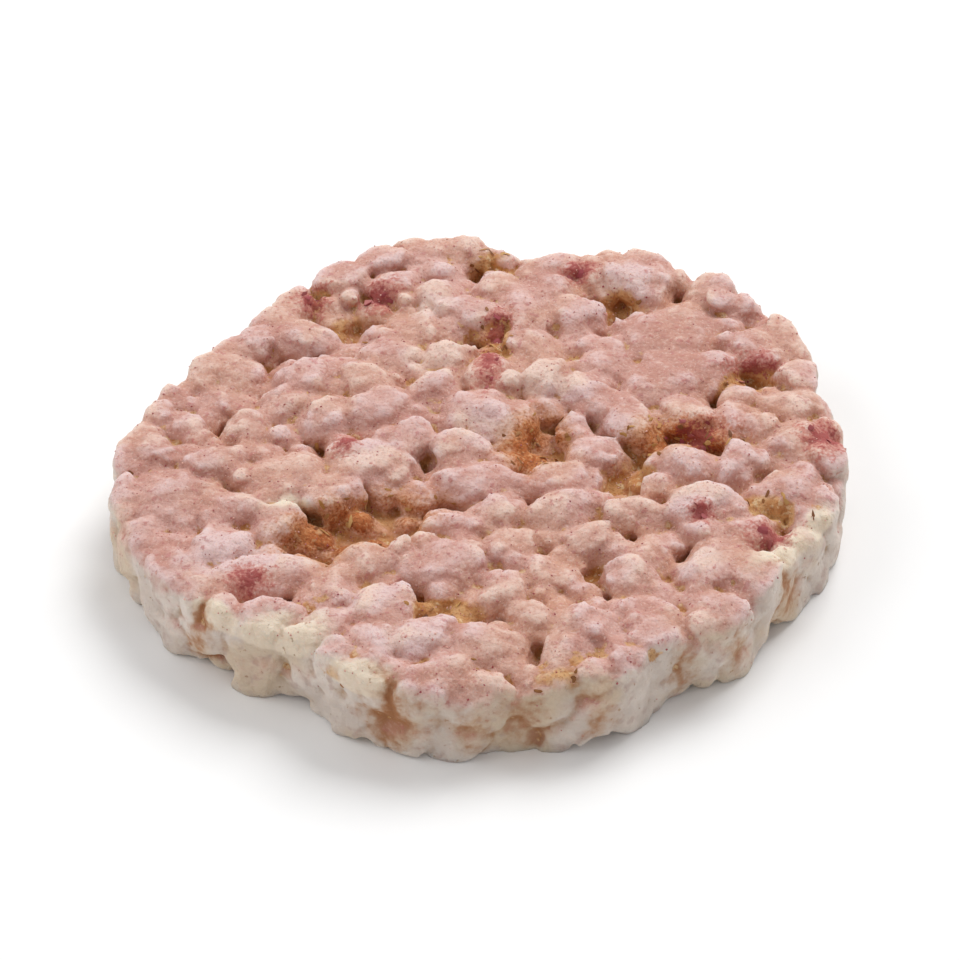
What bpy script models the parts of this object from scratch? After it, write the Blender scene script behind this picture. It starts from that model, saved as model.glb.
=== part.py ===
"""A small puffed rice cake: grains puffed and fused in a ring mould, about 48 mm across.

It is one solid, modelled in millimetres and scaled to metres at the end. It lies flat on z = 0
with its origin under its middle, +Z up.
"""

import math
import random

import bmesh
import bpy
from mathutils import Euler, Matrix, Vector, noise

NAME = "rice_cake"
METRES_PER_MM = 0.001
# The seeds of the lid's waves, and of the top, the nubs, the wall and the base.
WAVE_SEED = 11
SEEDS = (41, 42, 43, 14)

# The mould: a round ring between two flat plates.
RADIUS = 23.7
THICKNESS = 6.6
# Where the outline leaves the round: direction in degrees, reach in mm, spread in degrees.
OUTLINE = (
    (42, 1.4, 24),
    (18, -0.9, 5),
    (81, -3.0, 6),
    (114, -0.4, 6),
    (144, -2.5, 23),
    (192, 0.9, 19),
    (238, -1.5, 10),
    (276, -1.0, 6),
    (303, -1.9, 9),
    (328, -1.4, 15),
)

# The lid springs back unevenly as the steam leaves, so the top is wavy.
WAVE_DEPTH = 0.55
WAVE_SPAN = 8.0
EDGE_FALL = 0.7
EDGE_BAND = 2.6

# How gently the ring and the plates flatten the grains that reach them.
RING_SOFTNESS = 0.35
LID_SOFTNESS = 0.40
BASE_SOFTNESS = 0.20

# The largest grains of the top: middle x, y, half length, half width, turn in degrees.
LARGE_GRAINS = (
    (-14.4, -11.8, 5.2, 2.0, 10),
    (-20.2, -4.6, 3.3, 2.7, 75),
    (-13.2, -2.4, 3.4, 2.4, 35),
    (-7.2, -0.8, 2.9, 2.2, 12),
    (-0.6, -2.6, 3.7, 1.8, 3),
    (0.0, 4.2, 2.9, 2.3, -8),
    (-6.4, 4.8, 2.8, 2.0, 20),
    (-6.2, 10.4, 2.5, 1.9, 15),
    (-2.3, 9.9, 1.8, 2.1, 0),
    (-3.0, 16.4, 1.9, 1.6, 30),
    (1.2, 17.4, 2.2, 1.7, -15),
    (5.0, -5.4, 3.0, 2.0, 32),
    (-2.4, -10.4, 3.0, 2.3, 8),
    (-6.6, -15.2, 2.8, 2.2, 50),
    (0.2, -18.6, 2.9, 2.0, -10),
    (10.2, -16.0, 2.6, 2.4, 0),
    (13.8, -5.2, 2.9, 2.1, 25),
    (14.4, -11.2, 2.8, 2.1, 40),
    (20.4, 1.4, 2.6, 2.0, 60),
    (13.0, 13.4, 4.6, 3.2, 35),
    (12.4, 8.0, 4.4, 2.6, 28),
    (18.2, 11.6, 2.9, 2.3, 100),
)

# Hollows where grains are missing: middle x, y, half length, half width, turn in degrees.
HOLLOWS = (
    (-8.0, -7.2, 4.8, 1.9, 24),
    (3.7, 1.2, 2.4, 1.5, 80),
    (13.0, 1.6, 2.8, 1.1, -6),
    (9.6, -1.8, 1.7, 0.9, 60),
    (19.0, -5.4, 1.9, 0.7, -10),
    (-11.2, 17.0, 0.9, 0.7, 0),
    (-9.2, 13.6, 1.7, 0.9, 30),
    (1.2, 12.2, 2.0, 0.8, 95),
    (9.2, 16.4, 1.4, 0.8, 20),
    (17.6, 7.8, 1.5, 0.7, 30),
    (-2.4, -14.9, 2.1, 0.7, 0),
    (4.9, -21.6, 1.9, 0.8, 5),
    (12.4, -20.0, 2.1, 0.8, 30),
    (-9.6, -21.2, 1.9, 0.8, -15),
    (1.1, 20.9, 1.6, 0.8, 0),
)

# Small grains fill the top between the large ones: how far apart they are, and from what to what
# their half length, half width and half height go.
SMALL_PITCH = 3.0
SMALL_HALF = ((2.0, 2.8), (1.6, 2.0), (1.6, 2.0))
# How far the crowns of large and of small grains swell past the lid's height, how much of that
# is left once it is pressed down, and the spot where it left nothing: middle x, y and reach.
LARGE_SWELL = 0.5
SMALL_SWELL = 0.25
LID_GIVE = 0.45
PRESSED_SPOT = (13.6, 11.0, 6.4)
PRESSED_GIVE = -0.05
# The lower layer: how far apart and how large its lobes are, and how far below the lid their
# middles lie, also in the hollows.
LOWER_PITCH = 1.9
LOWER_HALF = (1.1, 1.6)
LOWER_SUNK = 1.8
HOLLOW_SUNK = 2.75
# Knobs on the top: how far apart and how large they are.
NUB_PITCH = 4.0
NUB_HALF = (0.6, 1.0)
# The side's outer and inner layer: how far apart the grains are, how far they keep inside the
# ring, and from what to what their half width goes. They are this much longer than wide.
WALL_LAYERS = ((2.6, -0.45, 1.4, 1.9), (1.9, 0.25, 1.1, 1.5))
WALL_LENGTH = 1.45
# The underside: how far apart its grains are, their half lengths, widths and height, and the
# height of their middles.
BASE_PITCH = 2.5
BASE_HALF = ((1.7, 2.5), (1.5, 1.9), 1.5)
BASE_MIDDLE = 1.2
# The solid core: its bottom, its top below the thickness, and its inset from the ring.
CORE = (1.1, 2.6, 1.9)

# A broad grain under the middle, whose flat underside is the face that the cake rests on.
RESTING_GRAIN = (3.4, 2.9, 1.7)

# The skin: the width at which grains melt together, how far it is thinned out, and how much
# of the underside is cut level.
FUSE_WIDTH = 0.42
SOFTENING_PASSES = 4
TRIANGLES = 8000
FOOT = 0.16


def rim(angle):
    """Distance from the middle to the mould's ring in this direction."""
    reach = RADIUS
    for at, change, spread in OUTLINE:
        turn = math.remainder(angle - math.radians(at), math.tau)
        reach += change * math.exp(-((turn / math.radians(spread)) ** 2))
    return reach


def depth_in(x, y):
    """How far a place lies inside the ring."""
    return rim(math.atan2(y, x)) - math.hypot(x, y)


def lid(x, y):
    """Height of the pressed top: wavy, and falling a little towards the ring."""
    wave = noise.noise(Vector((x, y, WAVE_SEED)) / WAVE_SPAN)
    fall = math.exp(-((max(depth_in(x, y), 0.0) / EDGE_BAND) ** 2))
    return THICKNESS - WAVE_DEPTH * (0.5 + wave) - EDGE_FALL * fall


def soft_limit(value, limit, softness):
    """The value, eased so that it never passes the limit."""
    over = (value - limit) / softness
    return limit if over > 30 else value - softness * math.log1p(math.exp(over))


def within(x, y, oval, grown):
    """Whether a place lies in an oval whose half length and half width are grown this much."""
    middle_x, middle_y, length, width, turn = oval
    along = Vector((x - middle_x, y - middle_y))
    along.rotate(Euler((0, 0, -math.radians(turn))).to_matrix().to_2x2())
    return (along.x / (length + grown)) ** 2 + (along.y / (width + grown)) ** 2 < 1


def places(rng, pitch, inset, tries, clear=None):
    """Random places at least a pitch apart, in from the ring and, where asked, clear of the
    hollows and the large grains by the two given margins."""
    found = []
    off_hollows, off_grains = clear or (None, None)
    for _ in range(tries):
        angle = rng.uniform(0, math.tau)
        reach = math.sqrt(rng.random()) * (rim(angle) - inset)
        x, y = reach * math.cos(angle), reach * math.sin(angle)
        if any(math.hypot(x - a, y - b) < pitch for a, b in found):
            continue
        if clear and any(within(x, y, oval, off_hollows) for oval in HOLLOWS):
            continue
        if clear and any(within(x, y, oval, off_grains) for oval in LARGE_GRAINS):
            continue
        found.append((x, y))
    return found


def add_lobe(mould, middle, half_sizes, turn, lumpiness):
    """One rounded lobe, an oval pushed out of shape by slow noise."""
    lobe = bmesh.new()
    bmesh.ops.create_icosphere(lobe, subdivisions=2, radius=1)
    own = middle * 3.7
    for vert in lobe.verts:
        way = vert.co.normalized()
        swell = 1 + lumpiness * (noise.noise(way * 1.3 + own) + 0.5 * noise.noise(way * 2.9 + own))
        vert.co = middle + turn @ (Vector(half_sizes) * way * swell)
    shaped = bpy.data.meshes.new("lobe")
    lobe.to_mesh(shaped)
    lobe.free()
    mould.from_mesh(shaped)
    bpy.data.meshes.remove(shaped)


def add_grain(mould, rng, middle, half_sizes, turn, lumpiness=0.35):
    """A puffed grain: one long lobe, with a smaller one burst out of its side."""
    add_lobe(mould, middle, half_sizes, turn, lumpiness)
    length, width, height = half_sizes
    burst = turn @ Vector((rng.uniform(-0.55, 0.55) * length, rng.choice((-0.5, 0.5)) * width, 0.12))
    size = rng.uniform(0.5, 0.75) * width
    add_lobe(mould, middle + burst, (size * 1.2, size, min(size, height)), turn, lumpiness)


def add_core(mould):
    """The solid middle, which leaves no closed space between the grains."""
    bottom, below_top, inset = CORE
    verts = bmesh.ops.create_cone(
        mould, cap_ends=True, segments=72, radius1=1, radius2=1, depth=1
    )["verts"]
    for vert in verts:
        angle = math.atan2(vert.co.y, vert.co.x)
        reach = rim(angle) - inset
        height = bottom if vert.co.z < 0 else THICKNESS - below_top
        vert.co = (reach * math.cos(angle), reach * math.sin(angle), height)


def add_top(mould, rng):
    """The top: the large grains, smaller ones packed between them, and a lower layer beneath."""
    for x, y, length, width, turn in LARGE_GRAINS:
        tilt = Euler((rng.gauss(0, 0.12), rng.gauss(0, 0.12), math.radians(turn)))
        tall = min(width * 1.05, 2.3)
        middle = Vector((x, y, lid(x, y) + LARGE_SWELL - tall))
        add_grain(mould, rng, middle, (length, width, tall), tilt.to_matrix(), 0.28)
    for x, y in places(rng, SMALL_PITCH, 2.0, 7000, (1.4, 1.0)):
        long, wide, tall = [rng.uniform(*sizes) for sizes in SMALL_HALF]
        tilt = Euler((rng.gauss(0, 0.3), rng.gauss(0, 0.3), rng.uniform(0, math.tau)))
        middle = Vector((x, y, lid(x, y) + SMALL_SWELL - tall + rng.gauss(0, 0.20)))
        add_grain(mould, rng, middle, (long, wide, tall), tilt.to_matrix())
    for x, y in places(rng, LOWER_PITCH, 1.6, 5000):
        size = rng.uniform(*LOWER_HALF)
        hollow = any(within(x, y, oval, 0.4) for oval in HOLLOWS)
        sunk = HOLLOW_SUNK if hollow else LOWER_SUNK
        middle = Vector((x, y, lid(x, y) - sunk + rng.gauss(0, 0.15)))
        turn = Euler((0, 0, rng.uniform(0, math.tau))).to_matrix()
        add_lobe(mould, middle, (size * 1.2, size, size), turn, 0.4)


def add_nubs(mould, rng):
    """Small knobs and broken grain ends standing on the top."""
    for x, y in places(rng, NUB_PITCH, 2.2, 4000, (1.0, -0.8)):
        size = rng.uniform(*NUB_HALF)
        middle = Vector((x, y, lid(x, y) - 0.8 + rng.gauss(0, 0.2)))
        turn = Euler((rng.gauss(0, 0.6), rng.gauss(0, 0.6), rng.uniform(0, math.tau)))
        add_lobe(mould, middle, (size * 1.4, size, size * 0.9), turn.to_matrix(), 0.5)


def add_wall(mould, rng):
    """The side: grains that stand and lean against the ring, over a lower layer."""
    for pitch, inset, narrowest, widest in WALL_LAYERS:
        found = []
        for _ in range(3000):
            angle, height = rng.uniform(0, math.tau), rng.uniform(1.1, THICKNESS - 1.5)
            spot = Vector((RADIUS * math.cos(angle), RADIUS * math.sin(angle), height))
            if any((spot - other).length < pitch for other in found):
                continue
            found.append(spot)
            wide = rng.uniform(narrowest, widest)
            reach = (rim(angle) - inset - wide + rng.gauss(0, 0.12)) / RADIUS
            middle = Vector((spot.x * reach, spot.y * reach, height))
            lean = Euler((0, 0, rng.gauss(0, 0.6))).to_matrix()
            upright = Euler((0, math.pi / 2, angle)).to_matrix()
            add_grain(mould, rng, middle, (wide * WALL_LENGTH, wide, wide), upright @ lean)


def add_base(mould, rng):
    """The underside: one layer of grains around the resting one, pressed by the lower plate."""
    level = Euler((0, 0, 0.5)).to_matrix()
    add_lobe(mould, Vector((0, 0, 1.4)), RESTING_GRAIN, level, 0.1)
    for x, y in places(rng, BASE_PITCH, 1.9, 5000):
        if math.hypot(x, y) < RESTING_GRAIN[0]:
            continue
        long, wide = rng.uniform(*BASE_HALF[0]), rng.uniform(*BASE_HALF[1])
        turn = Euler((rng.gauss(0, 0.12), rng.gauss(0, 0.12), rng.uniform(0, math.tau)))
        middle = Vector((x, y, BASE_MIDDLE + rng.gauss(0, 0.12)))
        add_grain(mould, rng, middle, (long, wide, BASE_HALF[2]), turn.to_matrix(), 0.25)


def press(mould):
    """Flatten whatever reaches the ring, the lid and the lower plate."""
    for vert in mould.verts:
        x, y, z = vert.co
        reach = math.hypot(x, y)
        if reach > 0:
            kept = soft_limit(reach, rim(math.atan2(y, x)), RING_SOFTNESS) / reach
            x, y = x * kept, y * kept
        z = -soft_limit(-z, 0.0, BASE_SOFTNESS)
        off_spot = math.hypot(x - PRESSED_SPOT[0], y - PRESSED_SPOT[1]) / PRESSED_SPOT[2]
        give = LID_GIVE + (PRESSED_GIVE - LID_GIVE) * math.exp(-(off_spot**4))
        vert.co = (x, y, soft_limit(z, lid(x, y) + give, LID_SOFTNESS))


def fused(obj):
    """The grains melted into one skin, thinned out and smoothed where they were pressed."""
    melt = obj.modifiers.new("melt", "REMESH")
    melt.mode = "VOXEL"
    melt.voxel_size = FUSE_WIDTH * METRES_PER_MM
    soften = obj.modifiers.new("soften", "SMOOTH")
    soften.factor = 0.5
    soften.iterations = SOFTENING_PASSES
    graph = bpy.context.evaluated_depsgraph_get()
    faces = len(obj.evaluated_get(graph).data.polygons)
    thin = obj.modifiers.new("thin out", "DECIMATE")
    thin.ratio = TRIANGLES / (2 * faces)
    graph.update()
    return bpy.data.meshes.new_from_object(obj.evaluated_get(graph))


def cut_foot(mesh):
    """Cut the underside level, so that the cake rests on true flats."""
    skin = bmesh.new()
    skin.from_mesh(mesh)
    level = FOOT * METRES_PER_MM
    near = level / 30
    bmesh.ops.bisect_plane(
        skin,
        geom=skin.verts[:] + skin.edges[:] + skin.faces[:],
        dist=near,
        plane_co=(0, 0, level),
        plane_no=(0, 0, 1),
        clear_inner=True,
    )
    for vert in skin.verts:
        if vert.co.z < level + near:
            vert.co.z = level
    bmesh.ops.holes_fill(skin, edges=[edge for edge in skin.edges if edge.is_boundary])
    bmesh.ops.triangulate(skin, faces=skin.faces[:])
    skin.to_mesh(mesh)
    skin.free()


def set_down(mesh):
    """Centre the cake over the origin and set it on z = 0."""
    low = Vector(min(vert.co[axis] for vert in mesh.vertices) for axis in range(3))
    high = Vector(max(vert.co[axis] for vert in mesh.vertices) for axis in range(3))
    middle = (low + high) / 2
    mesh.transform(Matrix.Translation((-middle.x, -middle.y, -low.z)))


def baked_crust():
    """Matt puffed rice under a dusting of pink fruit powder."""
    material = bpy.data.materials.new("dusted_puffed_rice")
    material.use_nodes = True
    shader = material.node_tree.nodes["Principled BSDF"]
    shader.inputs["Base Color"].default_value = (0.56, 0.33, 0.26, 1)
    shader.inputs["Roughness"].default_value = 0.85
    shader.inputs["Metallic"].default_value = 0
    return material


def build():
    for obj in list(bpy.data.objects):
        bpy.data.objects.remove(obj)
    parts = bpy.data.collections.new(NAME)
    bpy.context.scene.collection.children.link(parts)

    mould = bmesh.new()
    add_core(mould)
    for add_layer, seed in zip((add_top, add_nubs, add_wall, add_base), SEEDS):
        add_layer(mould, random.Random(seed))
    press(mould)
    bmesh.ops.scale(mould, verts=mould.verts, vec=(METRES_PER_MM,) * 3)
    grains = bpy.data.meshes.new("grains")
    mould.to_mesh(grains)
    mould.free()

    cake = bpy.data.objects.new(NAME, grains)
    parts.objects.link(cake)
    skin = fused(cake)
    cake.modifiers.clear()
    cut_foot(skin)
    set_down(skin)
    skin.name = NAME
    skin.materials.append(baked_crust())
    cake.data = skin


build()
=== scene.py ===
"""The looks of a small puffed rice cake: fused puffed grains, pink fruit powder and bran."""

import math
import random

import bmesh
import bpy
import numpy as np
from mathutils import Euler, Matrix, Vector, noise


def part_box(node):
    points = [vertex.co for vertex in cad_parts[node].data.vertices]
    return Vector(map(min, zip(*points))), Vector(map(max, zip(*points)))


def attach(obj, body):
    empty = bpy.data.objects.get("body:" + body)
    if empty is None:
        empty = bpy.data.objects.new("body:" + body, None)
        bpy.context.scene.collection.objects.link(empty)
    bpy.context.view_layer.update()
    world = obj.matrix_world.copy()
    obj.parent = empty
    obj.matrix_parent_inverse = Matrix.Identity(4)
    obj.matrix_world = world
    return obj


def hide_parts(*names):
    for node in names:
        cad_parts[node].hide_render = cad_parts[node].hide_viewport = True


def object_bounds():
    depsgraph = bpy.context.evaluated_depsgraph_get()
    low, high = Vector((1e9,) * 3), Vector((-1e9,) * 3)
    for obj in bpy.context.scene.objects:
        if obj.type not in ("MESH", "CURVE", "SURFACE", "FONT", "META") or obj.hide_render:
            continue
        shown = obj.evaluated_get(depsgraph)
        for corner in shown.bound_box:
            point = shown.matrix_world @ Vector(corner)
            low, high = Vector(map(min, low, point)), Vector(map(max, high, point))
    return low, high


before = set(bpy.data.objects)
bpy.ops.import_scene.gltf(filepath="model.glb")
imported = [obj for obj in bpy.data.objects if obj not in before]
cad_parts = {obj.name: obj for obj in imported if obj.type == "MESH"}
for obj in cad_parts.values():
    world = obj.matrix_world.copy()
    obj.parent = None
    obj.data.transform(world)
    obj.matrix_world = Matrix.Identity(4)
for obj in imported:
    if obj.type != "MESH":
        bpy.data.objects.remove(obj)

solid_box = [list(corner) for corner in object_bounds()]


# The camera: it looks down on the cake from in front, as at a plate on a low table, from so
# far that the round is only a little wider in front than behind. Sizes are metres.
VIEW_RISE = math.radians(39.7)
VIEW_DISTANCE = 0.335
FRAME_WIDTH = 0.0625

cake_low, cake_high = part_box("rice_cake")
cake_middle = (cake_low + cake_high) / 2
camera = bpy.data.objects.new("camera", bpy.data.cameras.new("camera"))
bpy.context.scene.collection.objects.link(camera)
bpy.context.scene.camera = camera
towards_camera = Vector((0, -math.cos(VIEW_RISE), math.sin(VIEW_RISE)))
camera.location = cake_middle + towards_camera * VIEW_DISTANCE
camera.rotation_euler = (-towards_camera).to_track_quat("-Z", "Y").to_euler()
camera.data.lens = camera.data.sensor_width * VIEW_DISTANCE / FRAME_WIDTH
camera.data.clip_start = 0.01


# The cake: rice and a little maize, puffed by steam in a hot ring mould, so that the grains
# swell into each other and fuse. The lid and the ring flatten the grains that reach them, and
# between the grains creases and a few hollows are left. Sizes in this section are millimetres.
MM = 0.001
WAVE_SEED = 11
SEEDS = (41, 42, 43, 14)
RADIUS = 23.7
THICKNESS = 6.6
# Where the outline leaves the round: direction in degrees, reach, spread in degrees.
OUTLINE = (
    (42, 1.4, 24),
    (18, -0.9, 5),
    (81, -3.0, 6),
    (114, -0.4, 6),
    (144, -2.5, 23),
    (192, 0.9, 19),
    (238, -1.5, 10),
    (276, -1.0, 6),
    (303, -1.9, 9),
    (328, -1.4, 15),
)
WAVE_DEPTH = 0.55
WAVE_SPAN = 8.0
EDGE_FALL = 0.7
EDGE_BAND = 2.6
RING_SOFTNESS = 0.35
LID_SOFTNESS = 0.40
BASE_SOFTNESS = 0.20
# The largest grains of the top: middle x, y, half length, half width, turn in degrees.
LARGE_GRAINS = (
    (-14.4, -11.8, 5.2, 2.0, 10),
    (-20.2, -4.6, 3.3, 2.7, 75),
    (-13.2, -2.4, 3.4, 2.4, 35),
    (-7.2, -0.8, 2.9, 2.2, 12),
    (-0.6, -2.6, 3.7, 1.8, 3),
    (0.0, 4.2, 2.9, 2.3, -8),
    (-6.4, 4.8, 2.8, 2.0, 20),
    (-6.2, 10.4, 2.5, 1.9, 15),
    (-2.3, 9.9, 1.8, 2.1, 0),
    (-3.0, 16.4, 1.9, 1.6, 30),
    (1.2, 17.4, 2.2, 1.7, -15),
    (5.0, -5.4, 3.0, 2.0, 32),
    (-2.4, -10.4, 3.0, 2.3, 8),
    (-6.6, -15.2, 2.8, 2.2, 50),
    (0.2, -18.6, 2.9, 2.0, -10),
    (10.2, -16.0, 2.6, 2.4, 0),
    (13.8, -5.2, 2.9, 2.1, 25),
    (14.4, -11.2, 2.8, 2.1, 40),
    (20.4, 1.4, 2.6, 2.0, 60),
    (13.0, 13.4, 4.6, 3.2, 35),
    (12.4, 8.0, 4.4, 2.6, 28),
    (18.2, 11.6, 2.9, 2.3, 100),
)
# Hollows where grains are missing: middle x, y, half length, half width, turn in degrees.
HOLLOWS = (
    (-8.0, -7.2, 4.8, 1.9, 24),
    (3.7, 1.2, 2.4, 1.5, 80),
    (13.0, 1.6, 2.8, 1.1, -6),
    (9.6, -1.8, 1.7, 0.9, 60),
    (19.0, -5.4, 1.9, 0.7, -10),
    (-11.2, 17.0, 0.9, 0.7, 0),
    (-9.2, 13.6, 1.7, 0.9, 30),
    (1.2, 12.2, 2.0, 0.8, 95),
    (9.2, 16.4, 1.4, 0.8, 20),
    (17.6, 7.8, 1.5, 0.7, 30),
    (-2.4, -14.9, 2.1, 0.7, 0),
    (4.9, -21.6, 1.9, 0.8, 5),
    (12.4, -20.0, 2.1, 0.8, 30),
    (-9.6, -21.2, 1.9, 0.8, -15),
    (1.1, 20.9, 1.6, 0.8, 0),
)
# Small grains fill the top between the large ones: how far apart they are, and from what to what
# their half length, half width and half height go.
SMALL_PITCH = 3.0
SMALL_HALF = ((2.0, 2.8), (1.6, 2.0), (1.6, 2.0))
# How far the crowns of large and of small grains swell past the lid's height, how much of that
# is left once it is pressed down, and the spot where it left nothing: middle x, y and reach.
LARGE_SWELL = 0.5
SMALL_SWELL = 0.25
LID_GIVE = 0.45
PRESSED_SPOT = (13.6, 11.0, 6.4)
PRESSED_GIVE = -0.05
# The lower layer: how far apart and how large its lobes are, and how far below the lid their
# middles lie, also in the hollows.
LOWER_PITCH = 1.9
LOWER_HALF = (1.1, 1.6)
LOWER_SUNK = 1.8
HOLLOW_SUNK = 2.75
# Knobs on the top: how far apart and how large they are.
NUB_PITCH = 4.0
NUB_HALF = (0.6, 1.0)
# The side's outer and inner layer: how far apart the grains are, how far they keep inside the
# ring, and from what to what their half width goes. They are this much longer than wide.
WALL_LAYERS = ((2.6, -0.45, 1.4, 1.9), (1.9, 0.25, 1.1, 1.5))
WALL_LENGTH = 1.45
# The underside: how far apart its grains are, their half lengths, widths and height, and the
# height of their middles.
BASE_PITCH = 2.5
BASE_HALF = ((1.7, 2.5), (1.5, 1.9), 1.5)
BASE_MIDDLE = 1.2
# The solid core: its bottom, its top below the thickness, and its inset from the ring.
CORE = (1.1, 2.6, 1.9)
# Where the powder lies otherwise than on the rest, measured likewise: grains that stayed bare,
# crowns where it was rubbed off, creases that show golden husk, and where it lies thick or
# has stained the cake.
BARE_GRAINS = (
    (-12.6, -18.0, 3.6, 1.7, 15),
    (-16.6, -15.8, 1.8, 0.8, -40),
    (-7.6, -21.8, 2.2, 1.2, -15),
    (8.0, -23.2, 2.2, 1.5, 10),
    (3.6, -24.0, 1.8, 1.2, 0),
    (19.0, -9.4, 2.6, 1.3, 50),
    (21.6, -6.6, 1.5, 0.8, 70),
    (-12.6, -5.4, 1.5, 0.8, 20),
)
RUBBED_CROWNS = (
    (-14.2, -10.3, 4.6, 2.0, 12),
    (13.8, -11.1, 1.5, 1.1, 20),
    (0.4, 2.2, 2.6, 1.6, 0),
    (-3.2, 15.0, 1.6, 1.2, 0),
    (9.6, 17.8, 1.8, 1.3, 0),
    (-7.4, -0.4, 2.0, 1.3, 20),
    (-4.6, -18.8, 2.2, 1.5, 0),
    (14.2, -5.2, 2.2, 1.4, 20),
    (-7.0, -15.0, 1.8, 1.3, 30),
    (4.6, 6.6, 2.8, 1.2, -10),
    (-3.2, 9.4, 1.8, 1.5, 0),
)
HUSK_CREASES = (
    (4.9, -20.4, 2.4, 0.6, 8),
    (10.6, -19.0, 2.2, 0.6, 25),
    (-8.8, -20.3, 1.8, 0.4, -8),
    (-10.6, -15.0, 1.1, 0.4, 20),
    (-19.8, -12.0, 2.2, 0.3, -50),
    (9.4, -0.8, 2.0, 0.7, 60),
    (1.1, 20.2, 1.8, 0.9, 0),
    (-0.9, 12.6, 0.9, 0.5, 10),
    (21.0, -5.6, 1.4, 0.4, 5),
)
THICK_POWDER = (
    (13.6, 11.0, 6.0, 4.4, 35),
    (-17.8, 0.5, 6.0, 4.2, 70),
)
STAINS = (
    (1.1, 12.6, 1.3, 0.7, 70),
    (0.6, 8.8, 2.2, 0.7, 86),
    (-14.6, -12.9, 1.1, 0.8, 0),
    (18.1, 8.9, 1.5, 0.9, 20),
    (22.4, 1.2, 1.6, 1.2, 70),
    (14.2, -6.6, 0.7, 0.6, 0),
    (-11.2, 16.6, 1.0, 0.8, 40),
    (-6.8, 16.7, 1.1, 0.9, 50),
    (6.7, 19.0, 1.0, 0.6, 20),
    (14.2, 1.9, 2.0, 0.9, 0),
    (18.4, -8.2, 1.3, 0.8, 20),
    (-8.6, 0.6, 1.2, 0.6, 70),
)
# Places on the side that were toasted against the hot ring.
TOASTED = (
    (-5.4, -23.0, 2.2, 2.8, 0),
    (-0.4, -24.0, 1.3, 2.0, 0),
    (3.2, -23.9, 1.8, 2.2, 0),
    (7.6, -23.0, 1.6, 2.0, 20),
    (-17.6, -15.4, 1.4, 2.4, -45),
    (13.6, -18.8, 1.2, 2.0, 35),
    (16.8, -16.6, 1.2, 1.8, 45),
    (20.4, -11.4, 1.4, 2.2, 60),
    (-21.8, 8.2, 1.6, 2.4, 70),
    (6.0, 23.4, 1.6, 2.4, 10),
    (21.6, 12.0, 1.4, 2.4, -60),
)
# A broad grain under the middle, whose flat underside is the face that the cake rests on.
RESTING_GRAIN = (3.4, 2.9, 1.7)
# The skin: the width at which grains melt together, how often it is smoothed, how far it is
# thinned out, and how much of the underside is pressed level.
FUSE_WIDTH = 0.17
SOFTENING_PASSES = 3
TRIANGLES = 196000
FOOT = 0.16
# Relief on the fused skin: how far apart the bumps are, and how high. Below the lid's edge the
# hot ring has smoothed the grains, and only a share of the crumb and the grit is left.
BLISTERS = (1.50, 0.14)
CRUMB = (0.62, 0.09)
GRIT = (0.34, 0.05)
LID_EDGE = 4.6
SMOOTHED_SHARE = 0.45


def rim(angle):
    """Distance from the middle to the mould's ring in this direction."""
    reach = RADIUS
    for at, change, spread in OUTLINE:
        turn = math.remainder(angle - math.radians(at), math.tau)
        reach += change * math.exp(-((turn / math.radians(spread)) ** 2))
    return reach


def depth_in(x, y):
    """How far a place lies inside the ring."""
    return rim(math.atan2(y, x)) - math.hypot(x, y)


def lid(x, y):
    """Height of the pressed top: wavy, and falling a little towards the ring."""
    wave = noise.noise(Vector((x, y, WAVE_SEED)) / WAVE_SPAN)
    fall = math.exp(-((max(depth_in(x, y), 0.0) / EDGE_BAND) ** 2))
    return THICKNESS - WAVE_DEPTH * (0.5 + wave) - EDGE_FALL * fall


def soft_limit(value, limit, softness):
    """The value, eased so that it never passes the limit."""
    over = (value - limit) / softness
    return limit if over > 30 else value - softness * math.log1p(math.exp(over))


def within(x, y, oval, grown):
    """Whether a place lies in an oval whose half length and half width are grown this much."""
    middle_x, middle_y, length, width, turn = oval
    along = Vector((x - middle_x, y - middle_y))
    along.rotate(Euler((0, 0, -math.radians(turn))).to_matrix().to_2x2())
    return (along.x / (length + grown)) ** 2 + (along.y / (width + grown)) ** 2 < 1


def places(rng, pitch, inset, tries, clear=None):
    """Random places at least a pitch apart, in from the ring and, where asked, clear of the
    hollows and the large grains by the two given margins."""
    found = []
    off_hollows, off_grains = clear or (None, None)
    for _ in range(tries):
        angle = rng.uniform(0, math.tau)
        reach = math.sqrt(rng.random()) * (rim(angle) - inset)
        x, y = reach * math.cos(angle), reach * math.sin(angle)
        if any(math.hypot(x - a, y - b) < pitch for a, b in found):
            continue
        if clear and any(within(x, y, oval, off_hollows) for oval in HOLLOWS):
            continue
        if clear and any(within(x, y, oval, off_grains) for oval in LARGE_GRAINS):
            continue
        found.append((x, y))
    return found


def add_lobe(mould, middle, half_sizes, turn, lumpiness, roundness=3):
    """One rounded lobe, an oval pushed out of shape by slow noise."""
    lobe = bmesh.new()
    bmesh.ops.create_icosphere(lobe, subdivisions=roundness, radius=1)
    own = middle * 3.7
    for vert in lobe.verts:
        way = vert.co.normalized()
        swell = 1 + lumpiness * (noise.noise(way * 1.3 + own) + 0.5 * noise.noise(way * 2.9 + own))
        vert.co = middle + turn @ (Vector(half_sizes) * way * swell)
    shaped = bpy.data.meshes.new("lobe")
    lobe.to_mesh(shaped)
    lobe.free()
    mould.from_mesh(shaped)
    bpy.data.meshes.remove(shaped)


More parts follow.
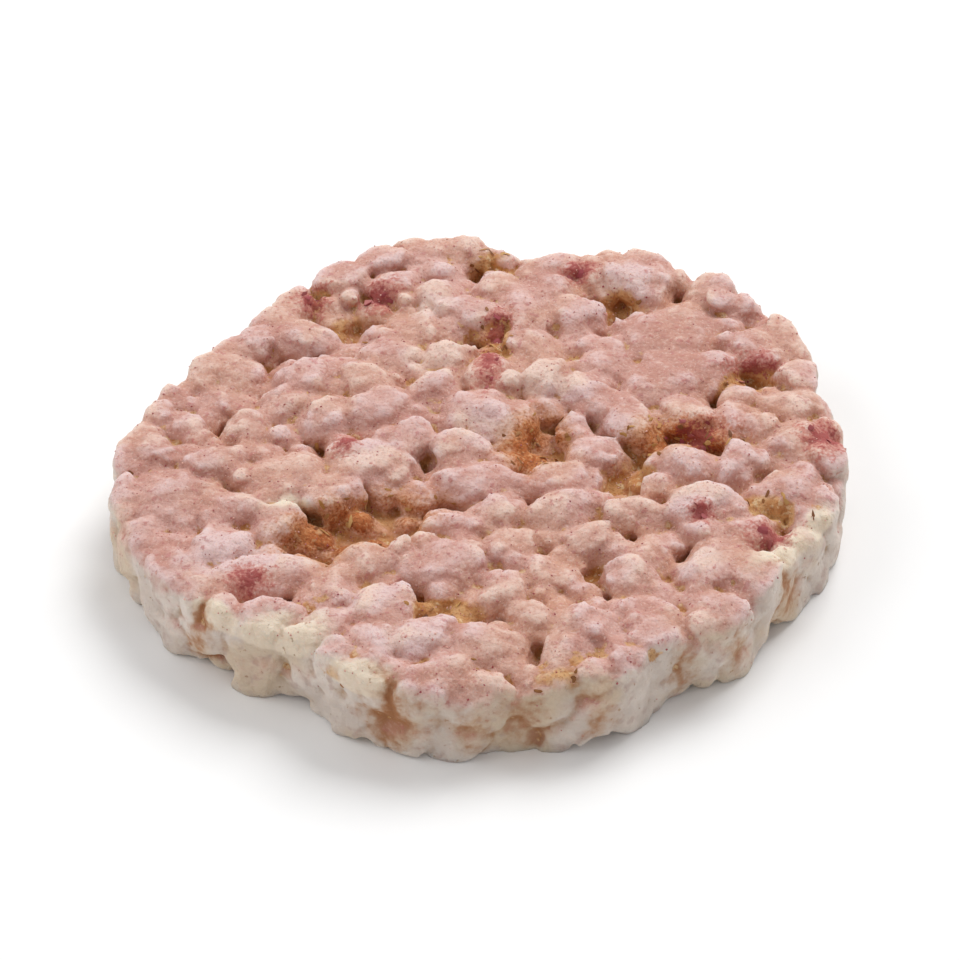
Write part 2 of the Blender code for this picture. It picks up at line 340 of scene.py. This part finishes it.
def add_grain(mould, rng, middle, half_sizes, turn, lumpiness=0.35):
    """A puffed grain: one long lobe, with a smaller one burst out of its side."""
    add_lobe(mould, middle, half_sizes, turn, lumpiness)
    length, width, height = half_sizes
    burst = turn @ Vector((rng.uniform(-0.55, 0.55) * length, rng.choice((-0.5, 0.5)) * width, 0.12))
    size = rng.uniform(0.5, 0.75) * width
    add_lobe(mould, middle + burst, (size * 1.2, size, min(size, height)), turn, lumpiness, 2)


def add_core(mould):
    """The solid middle, which leaves no closed space between the grains."""
    bottom, below_top, inset = CORE
    verts = bmesh.ops.create_cone(
        mould, cap_ends=True, segments=72, radius1=1, radius2=1, depth=1
    )["verts"]
    for vert in verts:
        angle = math.atan2(vert.co.y, vert.co.x)
        reach = rim(angle) - inset
        height = bottom if vert.co.z < 0 else THICKNESS - below_top
        vert.co = (reach * math.cos(angle), reach * math.sin(angle), height)


def add_top(mould, rng):
    """The top: the large grains, smaller ones packed between them, and a lower layer beneath."""
    for x, y, length, width, turn in LARGE_GRAINS:
        tilt = Euler((rng.gauss(0, 0.12), rng.gauss(0, 0.12), math.radians(turn)))
        tall = min(width * 1.05, 2.3)
        middle = Vector((x, y, lid(x, y) + LARGE_SWELL - tall))
        add_grain(mould, rng, middle, (length, width, tall), tilt.to_matrix(), 0.28)
    for x, y in places(rng, SMALL_PITCH, 2.0, 7000, (1.4, 1.0)):
        long, wide, tall = [rng.uniform(*sizes) for sizes in SMALL_HALF]
        tilt = Euler((rng.gauss(0, 0.3), rng.gauss(0, 0.3), rng.uniform(0, math.tau)))
        middle = Vector((x, y, lid(x, y) + SMALL_SWELL - tall + rng.gauss(0, 0.20)))
        add_grain(mould, rng, middle, (long, wide, tall), tilt.to_matrix())
    for x, y in places(rng, LOWER_PITCH, 1.6, 5000):
        size = rng.uniform(*LOWER_HALF)
        hollow = any(within(x, y, oval, 0.4) for oval in HOLLOWS)
        sunk = HOLLOW_SUNK if hollow else LOWER_SUNK
        middle = Vector((x, y, lid(x, y) - sunk + rng.gauss(0, 0.15)))
        turn = Euler((0, 0, rng.uniform(0, math.tau))).to_matrix()
        add_lobe(mould, middle, (size * 1.2, size, size), turn, 0.4, 2)


def add_nubs(mould, rng):
    """Small knobs and broken grain ends standing on the top."""
    for x, y in places(rng, NUB_PITCH, 2.2, 4000, (1.0, -0.8)):
        size = rng.uniform(*NUB_HALF)
        middle = Vector((x, y, lid(x, y) - 0.8 + rng.gauss(0, 0.2)))
        turn = Euler((rng.gauss(0, 0.6), rng.gauss(0, 0.6), rng.uniform(0, math.tau)))
        add_lobe(mould, middle, (size * 1.4, size, size * 0.9), turn.to_matrix(), 0.5, 2)


def add_wall(mould, rng):
    """The side: grains that stand and lean against the ring, over a lower layer."""
    for pitch, inset, narrowest, widest in WALL_LAYERS:
        found = []
        for _ in range(3000):
            angle, height = rng.uniform(0, math.tau), rng.uniform(1.1, THICKNESS - 1.5)
            spot = Vector((RADIUS * math.cos(angle), RADIUS * math.sin(angle), height))
            if any((spot - other).length < pitch for other in found):
                continue
            found.append(spot)
            wide = rng.uniform(narrowest, widest)
            reach = (rim(angle) - inset - wide + rng.gauss(0, 0.12)) / RADIUS
            middle = Vector((spot.x * reach, spot.y * reach, height))
            lean = Euler((0, 0, rng.gauss(0, 0.6))).to_matrix()
            upright = Euler((0, math.pi / 2, angle)).to_matrix()
            add_grain(mould, rng, middle, (wide * WALL_LENGTH, wide, wide), upright @ lean)


def add_base(mould, rng):
    """The underside: one layer of grains around the resting one, pressed by the lower plate."""
    level = Euler((0, 0, 0.5)).to_matrix()
    add_lobe(mould, Vector((0, 0, 1.4)), RESTING_GRAIN, level, 0.1)
    for x, y in places(rng, BASE_PITCH, 1.9, 5000):
        if math.hypot(x, y) < RESTING_GRAIN[0]:
            continue
        long, wide = rng.uniform(*BASE_HALF[0]), rng.uniform(*BASE_HALF[1])
        turn = Euler((rng.gauss(0, 0.12), rng.gauss(0, 0.12), rng.uniform(0, math.tau)))
        middle = Vector((x, y, BASE_MIDDLE + rng.gauss(0, 0.12)))
        add_grain(mould, rng, middle, (long, wide, BASE_HALF[2]), turn.to_matrix(), 0.25)


def press(mould):
    """Flatten whatever reaches the ring, the lid and the lower plate."""
    for vert in mould.verts:
        x, y, z = vert.co
        reach = math.hypot(x, y)
        if reach > 0:
            kept = soft_limit(reach, rim(math.atan2(y, x)), RING_SOFTNESS) / reach
            x, y = x * kept, y * kept
        z = -soft_limit(-z, 0.0, BASE_SOFTNESS)
        off_spot = math.hypot(x - PRESSED_SPOT[0], y - PRESSED_SPOT[1]) / PRESSED_SPOT[2]
        give = LID_GIVE + (PRESSED_GIVE - LID_GIVE) * math.exp(-(off_spot**4))
        vert.co = (x, y, soft_limit(z, lid(x, y) + give, LID_SOFTNESS))


def with_modifiers(obj):
    """The object's mesh as its modifiers leave it, which then replaces them."""
    shaped = bpy.data.meshes.new_from_object(
        obj.evaluated_get(bpy.context.evaluated_depsgraph_get())
    )
    obj.modifiers.clear()
    obj.data = shaped
    return shaped


def places_of(mesh):
    """A mesh's vertex places, in millimetres."""
    found = np.empty(len(mesh.vertices) * 3, np.float32)
    mesh.vertices.foreach_get("co", found)
    return found.reshape(-1, 3) / MM


def normals_of(mesh):
    """A mesh's vertex normals."""
    found = np.empty(len(mesh.vertices) * 3, np.float32)
    mesh.vertex_normals.foreach_get("vector", found)
    return found.reshape(-1, 3)


def smoothed_copy(obj, passes):
    """Places and normals of the same vertices after this much smoothing."""
    soft = obj.modifiers.new("soft", "SMOOTH")
    soft.factor = 0.5
    soft.iterations = passes
    graph = bpy.context.evaluated_depsgraph_get()
    mesh = bpy.data.meshes.new_from_object(obj.evaluated_get(graph))
    obj.modifiers.remove(soft)
    found = places_of(mesh), normals_of(mesh)
    bpy.data.meshes.remove(mesh)
    return found


def bumps(place, spacing):
    """Noise with bumps about this far apart."""
    return noise.noise(place / spacing)


def raise_relief(mesh):
    """Blisters, crumb and grit on the skin, fainter on the sides that the mould smoothed."""
    spots, out = places_of(mesh), normals_of(mesh)
    for index, (spot, normal) in enumerate(zip(spots, out)):
        place = Vector(spot)
        rough = 1.0 if spot[2] > LID_EDGE else SMOOTHED_SHARE
        lift = BLISTERS[1] * bumps(place, BLISTERS[0])
        lift += CRUMB[1] * abs(bumps(place + Vector((9, 0, 0)), CRUMB[0])) * rough
        lift += GRIT[1] * bumps(place + Vector((0, 9, 0)), GRIT[0]) * rough
        spots[index] = spot + normal * lift
    mesh.vertices.foreach_set("co", (spots * MM).ravel())
    mesh.update()


def drop_bubbles(mesh):
    """Take out closed bubbles inside the crumb: whatever isn't joined to the highest vertex."""
    crumb = bmesh.new()
    crumb.from_mesh(mesh)
    found = edge = {max(crumb.verts, key=lambda vert: vert.co.z)}
    while edge:
        edge = {link.other_vert(vert) for vert in edge for link in vert.link_edges} - found
        found = found | edge
    bmesh.ops.delete(crumb, geom=[v for v in crumb.verts if v not in found], context="VERTS")
    crumb.to_mesh(mesh)
    crumb.free()


mould = bmesh.new()
add_core(mould)
for add_layer, seed in zip((add_top, add_nubs, add_wall, add_base), SEEDS):
    add_layer(mould, random.Random(seed))
press(mould)
bmesh.ops.scale(mould, verts=mould.verts, vec=(MM,) * 3)
grains = bpy.data.meshes.new("grains")
mould.to_mesh(grains)
mould.free()
cake = bpy.data.objects.new("puffed_cake", grains)
bpy.context.scene.collection.objects.link(cake)

melt = cake.modifiers.new("melt", "REMESH")
melt.mode = "VOXEL"
melt.voxel_size = FUSE_WIDTH * MM
soften = cake.modifiers.new("soften", "SMOOTH")
soften.factor = 0.5
soften.iterations = SOFTENING_PASSES
skin = with_modifiers(cake)
raise_relief(skin)
thin = cake.modifiers.new("thin out", "DECIMATE")
thin.ratio = TRIANGLES / (2 * len(skin.polygons))
skin = with_modifiers(cake)
drop_bubbles(skin)

# It sits where the solid does, with nothing below the plane that it rests on, and the few
# blisters that would stand above the closed lid are flat.
spots = places_of(skin)
middle = (spots.min(axis=0) + spots.max(axis=0)) / 2
spots[:, :2] -= middle[:2]
spots[:, 2] = np.clip(spots[:, 2] - FOOT, 0, solid_box[1][2] / MM)
skin.vertices.foreach_set("co", (spots * MM).ravel())
skin.update()
skin.shade_smooth()

# What the finish needs to know of the shape, kept as attributes. In millimetres: how far a spot
# lies below the skin's own smoothed form (sink) and below the lid (depth). As shares of one:
# how much a spot faces up, and how near it is to each kind of place. Powder and its lack reach
# down to the shoulder, toasting to the foot. Hollows wider than a slot are pits.
EVENING_PASSES = 60
SHOULDER = 3.9
BELOW_FOOT = -1.0
WIDEST_SLOT = 0.95
# Depth is counted up to the deepest, only above the underside and this far in from the ring.
DEEPEST = 2.5
UNDERSIDE = 2.0
SIDE_BAND = 1.2

evened, evened_out = smoothed_copy(cake, EVENING_PASSES)
spots = places_of(skin)


def nearness(ovals, grown, lowest=SHOULDER):
    """1 in the middle of the nearest oval, 0.5 at its edge, 0 at twice its size and lower
    down than the lowest."""
    nearest = np.zeros(len(spots))
    for middle_x, middle_y, length, width, turn in ovals:
        cos, sin = math.cos(math.radians(turn)), math.sin(math.radians(turn))
        x, y = spots[:, 0] - middle_x, spots[:, 1] - middle_y
        along, across = (x * cos + y * sin) / (length + grown), (y * cos - x * sin) / (width + grown)
        nearest = np.maximum(nearest, 1 - 0.5 * np.hypot(along, across))
    return nearest * np.clip(spots[:, 2] - lowest, 0, 1)


def depth_below_lid(x, y, z):
    """How far a spot in a hollow of the top lies below the lid, fading out towards the side."""
    if z <= UNDERSIDE:
        return 0
    return min(lid(x, y) - z, DEEPEST) * min(max(depth_in(x, y) - SIDE_BAND, 0), 1)


measures = {
    "sink": ((evened - spots) * evened_out).sum(axis=1),
    "depth": np.array([depth_below_lid(x, y, z) for x, y, z in spots.tolist()]),
    "facing": normals_of(skin)[:, 2] * 0.35 + evened_out[:, 2] * 0.65,
    "pit": nearness([oval for oval in HOLLOWS if oval[3] > WIDEST_SLOT], 0.5),
    "slot": nearness([oval for oval in HOLLOWS if oval[3] <= WIDEST_SLOT], 0.2),
    "husky": nearness(HUSK_CREASES, 0.1),
    "bare": nearness(BARE_GRAINS, 0.0),
    "pale": nearness(RUBBED_CROWNS, 0.0),
    "thick": nearness(THICK_POWDER, 0.0),
    "stain": nearness(STAINS, 0.1),
    "toasted": nearness(TOASTED, 0.0, BELOW_FOOT),
}
for name, values in measures.items():
    kept = skin.attributes.new(name, "FLOAT", "POINT")
    kept.data.foreach_set("value", values.astype(np.float32))


def linear(code):
    """An sRGB hex colour as the linear colour that a shader takes."""
    parts = [int(code[at : at + 2], 16) / 255 for at in (1, 3, 5)]
    return [p / 12.92 if p <= 0.04045 else ((p + 0.055) / 1.055) ** 2.4 for p in parts] + [1.0]


def add_node(tree, kind, inputs, **settings):
    """Adds a node with its settings, and gives its inputs their values or links."""
    node = tree.nodes.new(kind)
    for name, value in settings.items():
        setattr(node, name, value)
    for key, value in inputs.items():
        if isinstance(value, bpy.types.NodeSocket):
            tree.links.new(value, node.inputs[key])
        else:
            node.inputs[key].default_value = value
    return node


# Dusted puffed rice: dry starch foam, matt and slightly see-through, cream where it was pressed
# and tan where the ring toasted it. Fruit powder lies on whatever faces up, rubbed pale on the
# crowns and red where it got damp. Bran is brown in the pits, golden in slots and creases. Light
# is painted in too: creases and hollows are painted darker as painted shade, deeper ones darker,
# and crowns that stand out are painted paler as a painted highlight.
crust = bpy.data.materials.new("dusted_puffed_rice")
crust.use_nodes = True
tree = crust.node_tree
tree.nodes.clear()
where = add_node(tree, "ShaderNodeTexCoord", {}).outputs["Object"]

# What drives the colours: noise with patches so many millimetres across, the kept measures,
# and sums of both, each part taken with its own share. The powder's own grain, under a tenth
# of a millimetre, is too fine to show, so the grit is drawn twice as coarse. The bubbles that
# burst in the crust are this far apart.
BUBBLE = 0.55
drive = {}
for name, across, shift in (
    ("clouds", 6.0, 0.00),
    ("patches", 2.2, 0.05),
    ("blotches", 1.1, 0.02),
    ("speckle", 0.50, 0.04),
    ("grit", 0.20, 0.03),
):
    moved = add_node(tree, "ShaderNodeMapping", {"Vector": where, "Location": (shift,) * 3})
    drive[name] = add_node(
        tree, "ShaderNodeTexNoise",
        {"Vector": moved.outputs[0], "Scale": 1 / (across * MM), "Detail": 3.0},
    ).outputs[0]
drive["bubbles"] = add_node(
    tree, "ShaderNodeTexVoronoi", {"Vector": where, "Scale": 1 / (BUBBLE * MM)}, feature="F1"
).outputs[0]
for name in measures:
    drive[name] = add_node(tree, "ShaderNodeAttribute", {}, attribute_name=name).outputs["Fac"]
for name, parts in (
    ("dusted", {
        "facing": 0.9, "patches": 0.7, "speckle": 0.4, "clouds": 0.5, "bare": -1.1, "depth": 0.3,
    }),
    # How deep a spot lies in a crease, with noise: it drives painted shade in the creases as well as
    # the tint of what collects there.
    ("crease_tint_and_shade", {"sink": 1.0, "blotches": 0.35, "patches": 0.25}),
    ("deep", {"depth": 0.5, "clouds": 0.8, "blotches": 0.5}),
    ("pit_floor", {"pit": 0.9, "depth": 0.16, "blotches": 0.3, "speckle": 0.4, "grit": 0.4}),
    ("slot_floor", {"slot": 0.9, "depth": 0.25, "sink": 0.6, "blotches": 0.3, "speckle": 0.2}),
    ("golden", {"husky": 0.6, "sink": 2.2, "blotches": 0.7, "speckle": 1.0}),
    ("rubbing", {"pale": 1.0, "sink": -0.8, "blotches": 0.5, "speckle": 0.2}),
    ("berry", {"stain": 0.9, "blotches": 0.5, "speckle": 0.9, "grit": 0.8}),
    ("scorch", {"toasted": 1.0, "sink": 1.6, "blotches": 0.5, "speckle": 0.6}),
    ("relief", {"speckle": 0.5, "grit": 0.4, "bubbles": -0.35}),
):
    total = 0.0
    for part, share in parts.items():
        total = add_node(
            tree, "ShaderNodeMath", {0: drive[part], 1: share, 2: total}, operation="MULTIPLY_ADD"
        ).outputs[0]
    drive[name] = total

# Each coat is a ground with layers over it. A layer's driver, the values between which it
# comes in, how much of it there is at most, and its colour, which may be an earlier coat.
coats = {}
for coat, ground, layers in (
    # Painted shade with a real tint: this coat darkens the creases between grains, where powder and
    # golden husk also collect.
    ("seam_tint_and_shade", "#B67E5E", (
        ("clouds", 0.47, 0.58, 1.0, "#C09A66"),
    )),
    # The pale coat of the crowns: powder rubbed off, and a painted highlight where it goes on crowns
    # by how far they stand out.
    ("rubbed_and_highlit", "#E2C7BA", (
        ("clouds", 0.56, 0.46, 1.0, "#DDC2C0"),
    )),
    ("rice", "#CEBFB4", (
        ("patches", 0.40, 0.62, 1.0, "#DACCC1"),
        ("clouds", 0.47, 0.62, 0.7, "#CFB89C"),
        ("blotches", 0.54, 0.68, 0.6, "#B89E94"),
        ("bare", 0.35, 0.60, 0.85, "#E6D5C0"),
        # Painted shade: the rice is painted brown down in its creases.
        ("crease_tint_and_shade", 0.30, 0.60, 0.8, "#A5825C"),
        # Bran tint and painted shade: hollows in the top are painted tan, more so the deeper they lie.
        ("depth", 0.60, 1.50, 0.85, "#BE8A60"),
        ("speckle", 0.66, 0.72, 0.6, "#94744F"),
    )),
    ("powder", "#C49285", (
        ("patches", 0.60, 0.40, 1.0, "#CFA398"),
        ("clouds", 0.44, 0.60, 0.6, "#CC9F8A"),
        ("thick", 0.30, 0.80, 0.7, "#BE8C7E"),
        # Painted highlight: every crown is painted paler the further it stands out from the smoothed
        # form.
        ("sink", -0.02, -0.28, 0.85, "rubbed_and_highlit"),
        ("rubbing", 0.68, 1.05, 0.8, "rubbed_and_highlit"),
        ("deep", 0.95, 1.35, 0.5, "#C28B6E"),
        # Painted shade: the powder turns to the darker crease coat down in the creases.
        ("crease_tint_and_shade", 0.46, 0.74, 0.8, "seam_tint_and_shade"),
        ("speckle", 0.60, 0.68, 0.5, "#B47070"),
        ("grit", 0.56, 0.66, 0.4, "#B47C72"),
        ("grit", 0.44, 0.34, 0.4, "#E0C4B8"),
    )),
    ("bran", "#AE602C", (
        ("blotches", 0.42, 0.62, 1.0, "#BA7444"),
        # Painted shade: bran is painted darker deeper down in the pits.
        ("depth", 1.40, 2.40, 0.7, "#8A4216"),
        ("speckle", 0.58, 0.68, 0.6, "#C9A07A"),
        ("grit", 0.53, 0.63, 0.6, "#7C421E"),
        ("grit", 0.44, 0.34, 0.5, "#D0A274"),
    )),
    ("husk", "#B4783E", (
        ("blotches", 0.42, 0.62, 1.0, "#CFA06C"),
        # Painted shade: husk is painted darker deeper down.
        ("depth", 1.00, 2.20, 0.5, "#B0703A"),
        ("speckle", 0.56, 0.66, 0.6, "#E2CAA4"),
        ("grit", 0.54, 0.64, 0.5, "#96602E"),
    )),
    ("crust", "rice", (
        ("scorch", 0.82, 1.36, 0.80, "#B88E6C"),
        ("scorch", 1.10, 1.50, 0.90, "#A26A42"),
        ("dusted", 0.80, 1.35, 1.0, "powder"),
        ("berry", 1.30, 1.62, 0.75, "#BC7468"),
        ("pit_floor", 0.85, 1.25, 0.6, "#CA9268"),
        ("slot_floor", 0.74, 1.02, 0.9, "husk"),
        ("golden", 1.22, 1.44, 0.85, "husk"),
        ("pit_floor", 1.04, 1.36, 0.95, "bran"),
        ("berry", 1.58, 1.84, 0.80, "#9A4444"),
    )),
):
    colour = coats.get(ground) or linear(ground)
    for name, low, high, most, tint in layers:
        share = add_node(
            tree, "ShaderNodeMapRange",
            {"Value": drive[name], "From Min": low, "From Max": high, "To Max": most},
            interpolation_type="SMOOTHSTEP",
        )
        colour = add_node(
            tree, "ShaderNodeMix",
            {0: share.outputs[0], 6: colour, 7: coats.get(tint) or linear(tint)},
            data_type="RGBA",
        ).outputs[2]
    coats[coat] = colour

bump = add_node(
    tree, "ShaderNodeBump", {"Strength": 0.6, "Distance": 0.55 * MM, "Height": drive["relief"]}
)
matt = add_node(
    tree, "ShaderNodeMapRange",
    {"Value": drive["speckle"], "From Min": 0.3, "From Max": 0.7, "To Min": 0.72, "To Max": 0.95},
)
shader = add_node(
    tree, "ShaderNodeBsdfPrincipled",
    {
        "Base Color": coats["crust"],
        "Roughness": matt.outputs[0],
        "Normal": bump.outputs[0],
        "Specular IOR Level": 0.3,
        "Subsurface Weight": 0.5,
        "Subsurface Radius": (1.0, 0.8, 0.65),
        "Subsurface Scale": 1.5 * MM,
    },
    subsurface_method="RANDOM_WALK",
)
add_node(tree, "ShaderNodeOutputMaterial", {"Surface": shader.outputs[0]})
skin.materials.clear()
skin.materials.append(crust)
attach(cake, "root")
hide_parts("rice_cake")


# Fruit crumbs: the coarse end of the freeze-dried fruit powder, brittle red scraps of pulp and
# seed. They were sprinkled with it and stick where they fell, thickest in creases and stains.

# How many crumbs and scraps there are, from what to what their half width goes in
# millimetres, and how high they are for their width.
CRUMBS = 4000
CRUMB_HALF = (0.03, 0.08)
CRUMB_HEIGHT = 0.8
SCRAPS = 30
SCRAP_HALF = (0.14, 0.40)
SCRAP_HEIGHT = 0.2
# Crumbs and flakes lie only above this height.
LOWEST_CRUMB = 1.0

outward = normals_of(skin)
rng = random.Random(5)


def scattered(count, chance, seed):
    """Random vertices of the skin, each as likely as its chance."""
    return np.random.default_rng(seed).choice(len(spots), count, p=chance / chance.sum())


def joined(name, shapes):
    """One object of many small shapes, with each shape's tint kept on its vertices."""
    whole, tints = bmesh.new(), []
    for shape, tint in shapes:
        piece = bpy.data.meshes.new("shape")
        tints += [tint] * len(shape.verts)
        shape.to_mesh(piece)
        shape.free()
        whole.from_mesh(piece)
        bpy.data.meshes.remove(piece)
    mesh = bpy.data.meshes.new(name)
    whole.to_mesh(mesh)
    whole.free()
    mesh.attributes.new("tint", "FLOAT", "POINT").data.foreach_set("value", tints)
    obj = bpy.data.objects.new(name, mesh)
    bpy.context.scene.collection.objects.link(obj)
    return obj


def crumb(index, half, height):
    """A broken crumb, half sunk in the skin at this vertex."""
    shape = bmesh.new()
    bmesh.ops.create_icosphere(shape, subdivisions=1, radius=half * MM)
    for vert in shape.verts:
        vert.co *= rng.uniform(0.6, 1.4)
        vert.co.z *= height
    lie = Vector(outward[index]).to_track_quat("Z", "Y").to_matrix()
    lie @= Euler((rng.gauss(0, 0.4), rng.gauss(0, 0.4), rng.uniform(0, math.tau))).to_matrix()
    bmesh.ops.transform(shape, matrix=lie.to_4x4(), verts=shape.verts)
    bmesh.ops.translate(shape, vec=Vector(spots[index] * MM), verts=shape.verts)
    return shape


raised = spots[:, 2] > LOWEST_CRUMB
strewn = raised * np.clip(measures["facing"], 0.02, 1) * (0.3 + np.clip(measures["sink"] * 4, 0, 1.5))
crumbs = [
    (crumb(index, rng.uniform(*CRUMB_HALF), CRUMB_HEIGHT), rng.triangular(0.2, 1, 1))
    for index in scattered(CRUMBS, strewn, 1)
]
for index in scattered(SCRAPS, np.clip(measures["stain"] - 0.35, 0, 1) ** 2, 2):
    scrap = crumb(index, rng.uniform(*SCRAP_HALF), SCRAP_HEIGHT)
    crumbs.append((scrap, rng.uniform(0.05, 0.55)))
fruit = joined("fruit_crumbs", crumbs)

# Freeze-dried fruit: brittle and matt, from dark seed brown through crimson skin to pale pulp.
pulp = bpy.data.materials.new("freeze_dried_fruit")
pulp.use_nodes = True
tree = pulp.node_tree
tree.nodes.clear()
tint = add_node(tree, "ShaderNodeAttribute", {}, attribute_name="tint").outputs["Fac"]
colour = linear("#74342E")
for low, high, shade in ((0.0, 0.3, "#9A464C"), (0.35, 0.6, "#BE7E78"), (0.65, 0.9, "#DDB0A2")):
    share = add_node(
        tree, "ShaderNodeMapRange", {"Value": tint, "From Min": low, "From Max": high}
    )
    colour = add_node(
        tree, "ShaderNodeMix", {0: share.outputs[0], 6: colour, 7: linear(shade)},
        data_type="RGBA",
    ).outputs[2]
shader = add_node(
    tree, "ShaderNodeBsdfPrincipled",
    {"Base Color": colour, "Roughness": 0.75, "Specular IOR Level": 0.35},
)
add_node(tree, "ShaderNodeOutputMaterial", {"Surface": shader.outputs[0]})
fruit.data.materials.append(pulp)
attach(fruit, "root")


# Bran flakes: scraps of the grains' papery brown skin that burst off as they puffed, curled by
# the heat and baked on, mostly down in the pits and slots.

# How many there are, from what to what their half length and half width go, and half their
# thickness, in millimetres.
FLAKES = 150
FLAKE_HALF = ((0.18, 0.48), (0.08, 0.20), 0.03)


def flake(index):
    """A curled oval scrap that lies on the skin at this vertex."""
    shape = bmesh.new()
    bmesh.ops.create_uvsphere(shape, u_segments=8, v_segments=4, radius=1)
    # Blender lists a UV sphere's faces in a new order at each run, so they are sorted by corners.
    shape.verts.index_update()
    shape.faces.sort(key=lambda face: sum(2 ** vert.index for vert in face.verts))
    long, wide, curl = rng.uniform(*FLAKE_HALF[0]), rng.uniform(*FLAKE_HALF[1]), rng.uniform(-0.2, 0.4)
    for vert in shape.verts:
        x, y, z = vert.co
        arch = curl * (0.6 - x * x) * long * 0.5
        ragged = rng.uniform(0.5, 1.2)
        vert.co = Vector((x * long, y * wide * ragged, z * FLAKE_HALF[2] + arch)) * MM
    lie = Vector(outward[index]).to_track_quat("Z", "Y").to_matrix()
    lie @= Euler((rng.gauss(0, 0.2), rng.gauss(0, 0.2), rng.uniform(0, math.tau))).to_matrix()
    bmesh.ops.transform(shape, matrix=lie.to_4x4(), verts=shape.verts)
    bmesh.ops.translate(shape, vec=Vector(spots[index] * MM), verts=shape.verts)
    return shape


caught = np.clip(measures["pit"] - 0.3, 0, 1) + 0.7 * np.clip(measures["slot"] - 0.3, 0, 1)
caught += 0.02 * np.clip(measures["sink"] * 4, 0, 1)
caught *= raised
bran = joined("bran_flakes", [(flake(index), rng.random()) for index in scattered(FLAKES, caught, 3)])

# Baked bran: a thin papery skin with a slight gloss, golden to dark brown with its baking.
husk = bpy.data.materials.new("baked_bran")
husk.use_nodes = True
tree = husk.node_tree
tree.nodes.clear()
where = add_node(tree, "ShaderNodeTexCoord", {}).outputs["Object"]
tint = add_node(tree, "ShaderNodeAttribute", {}, attribute_name="tint").outputs["Fac"]
toast = add_node(
    tree, "ShaderNodeTexNoise", {"Vector": where, "Scale": 1 / (0.4 * MM), "Detail": 2.0}
).outputs[0]
baked = add_node(tree, "ShaderNodeMath", {0: toast, 1: 0.6, 2: tint}, operation="MULTIPLY_ADD")
colour = linear("#734220")
for low, high, shade in ((0.3, 0.7, "#94602E"), (0.7, 1.0, "#AE7C42"), (1.0, 1.3, "#C49A60")):
    share = add_node(
        tree, "ShaderNodeMapRange", {"Value": baked.outputs[0], "From Min": low, "From Max": high}
    )
    colour = add_node(
        tree, "ShaderNodeMix", {0: share.outputs[0], 6: colour, 7: linear(shade)},
        data_type="RGBA",
    ).outputs[2]
shader = add_node(
    tree, "ShaderNodeBsdfPrincipled",
    {"Base Color": colour, "Roughness": 0.6, "Specular IOR Level": 0.4},
)
add_node(tree, "ShaderNodeOutputMaterial", {"Surface": shader.outputs[0]})
bran.data.materials.append(husk)
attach(bran, "root")


# The stage: a wide white sheet under soft studio light. The key is a large softbox behind and
# to the right, so that shadows fall forwards and to the left, with weak fill all round.
sheet = bmesh.new()
bmesh.ops.create_grid(sheet, x_segments=1, y_segments=1, size=1.5)
floor_mesh = bpy.data.meshes.new("floor")
sheet.to_mesh(floor_mesh)
sheet.free()
floor = bpy.data.objects.new("floor", floor_mesh)
bpy.context.scene.collection.objects.link(floor)

# White paper: matt, so that it shows soft shadows and no reflections.
paper = bpy.data.materials.new("white_paper")
paper.use_nodes = True
paper_shader = paper.node_tree.nodes["Principled BSDF"]
paper_shader.inputs["Base Color"].default_value = linear("#F6F6F6")
paper_shader.inputs["Roughness"].default_value = 0.9
floor_mesh.materials.append(paper)


def add_softbox(name, place, size, power):
    """A square area light that faces the cake."""
    light = bpy.data.lights.new(name, "AREA")
    light.size = size
    light.energy = power
    box = bpy.data.objects.new(name, light)
    bpy.context.scene.collection.objects.link(box)
    box.location = place
    box.rotation_euler = (cake_middle - box.location).to_track_quat("-Z", "Y").to_euler()


add_softbox("key", Vector((0.24, 0.40, 0.56)), 0.42, 3.8)
add_softbox("fill", Vector((-0.50, 0.00, 0.40)), 0.50, 1.2)
world = bpy.data.worlds.new("studio")
world.use_nodes = True
world.node_tree.nodes["Background"].inputs["Color"].default_value = linear("#FFFFFF")
world.node_tree.nodes["Background"].inputs["Strength"].default_value = 0.50
bpy.context.scene.world = world
bpy.context.scene.view_settings.view_transform = "Standard"
